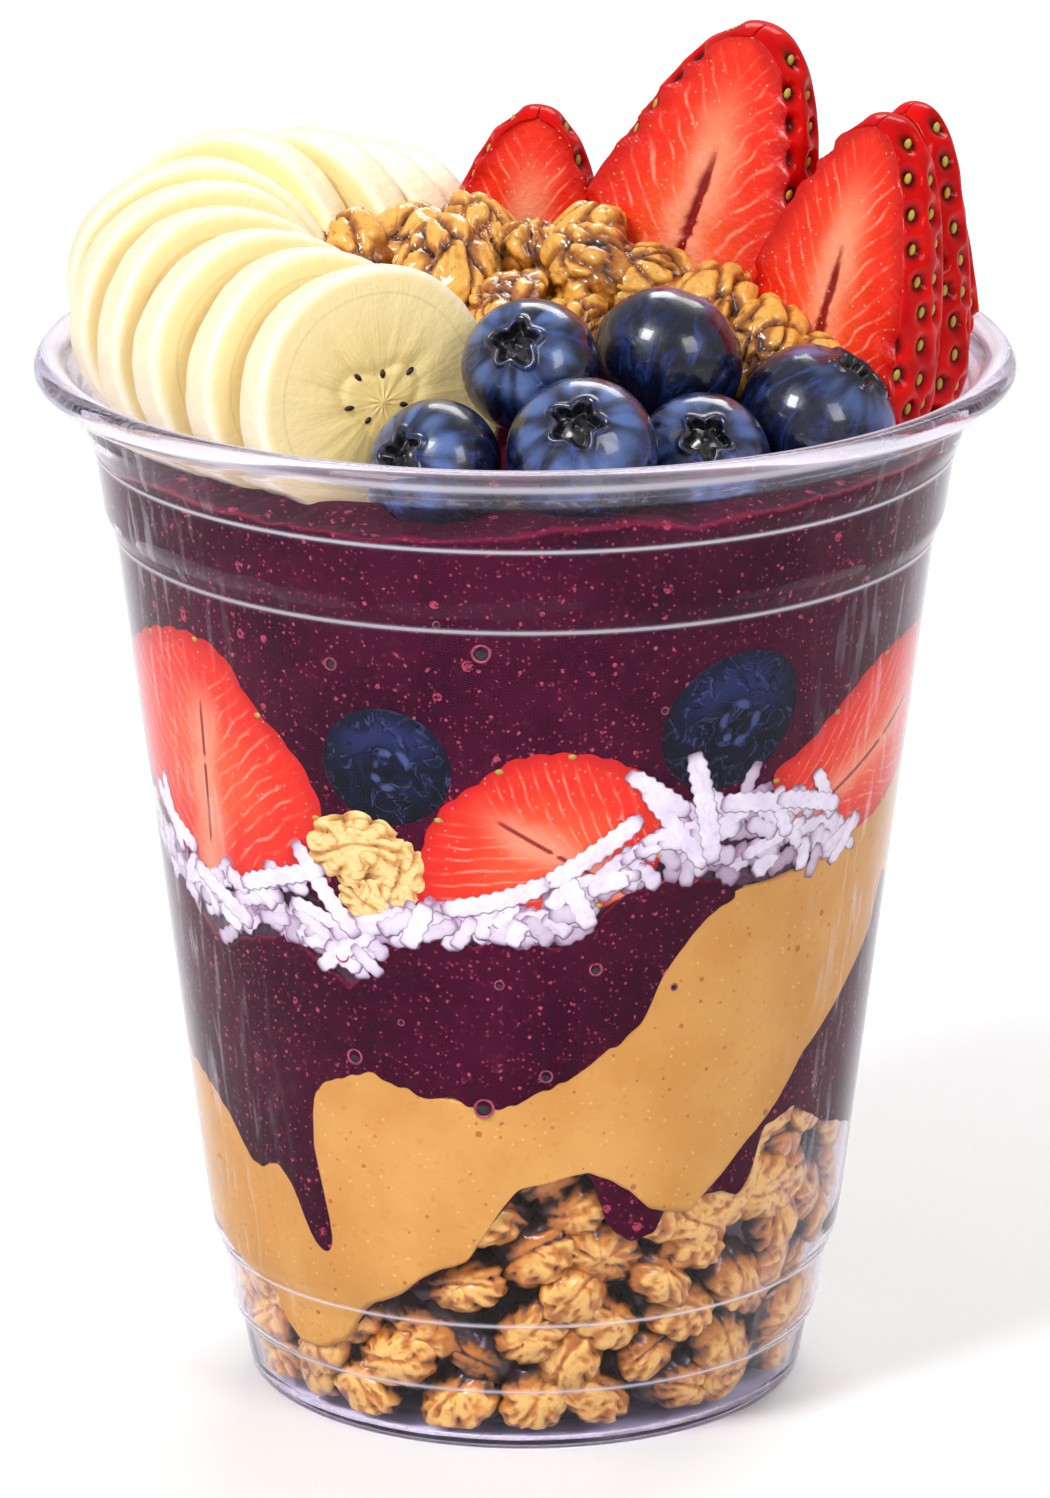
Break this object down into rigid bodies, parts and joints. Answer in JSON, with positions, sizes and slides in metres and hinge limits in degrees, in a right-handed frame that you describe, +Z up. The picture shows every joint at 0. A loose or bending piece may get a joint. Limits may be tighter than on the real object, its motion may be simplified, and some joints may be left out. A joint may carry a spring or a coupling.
{
  "type": "acai bowl",
  "caption": "Layered acai in a clear tapered plastic cup with walnuts, peanut butter and coconut, topped with banana slices, blueberries, walnuts and strawberries.",
  "frame": {"origin": "centre of the cup's foot ring, on the plane it stands on", "axes": "+Z up along the cup's axis; -Y is the front, which the picture shows; +X is the viewer's right"},
  "size_m": [0.098, 0.098, 0.1372],
  "materials": {
    "clear_plastic": "clear, gloss",
    "acai": "dark purple frozen fruit, satin",
    "peanut_butter": "smooth tan spread, satin",
    "walnut": "glazed golden brown, satin",
    "coconut": "white dried strips, satin",
    "banana": "pale cream flesh, moist",
    "blueberry": "dark blue skin with bloom, gloss",
    "strawberry": "red flesh and skin, moist"
  },
  "bodies": {
    "root": {"cup": "clear_plastic", "walnut_bed": "walnut", "low_acai": "acai", "peanut_butter": "peanut_butter", "mid_acai": "acai", "coconut": "coconut", "upper_acai": "acai", "side_walnuts": "walnut", "side_strawberry_1": "strawberry", "side_strawberry_2": "strawberry", "side_strawberry_3": "strawberry", "side_strawberry_4": "strawberry", "side_strawberry_5": "strawberry", "side_blueberry_1": "blueberry", "side_blueberry_2": "blueberry", "side_blueberry_3": "blueberry", "blueberry_1": "blueberry", "blueberry_2": "blueberry", "blueberry_3": "blueberry", "blueberry_4": "blueberry", "blueberry_5": "blueberry", "blueberry_6": "blueberry", "banana_slice_1": "banana", "banana_slice_2": "banana", "banana_slice_3": "banana", "banana_slice_4": "banana", "banana_slice_5": "banana", "banana_slice_6": "banana", "banana_slice_7": "banana", "banana_slice_8": "banana", "banana_slice_9": "banana", "banana_slice_10": "banana", "strawberry_1": "strawberry", "strawberry_2": "strawberry", "strawberry_3": "strawberry", "strawberry_4": "strawberry", "strawberry_5": "strawberry", "walnut_pile": "walnut"}
  },
  "joints": []
}
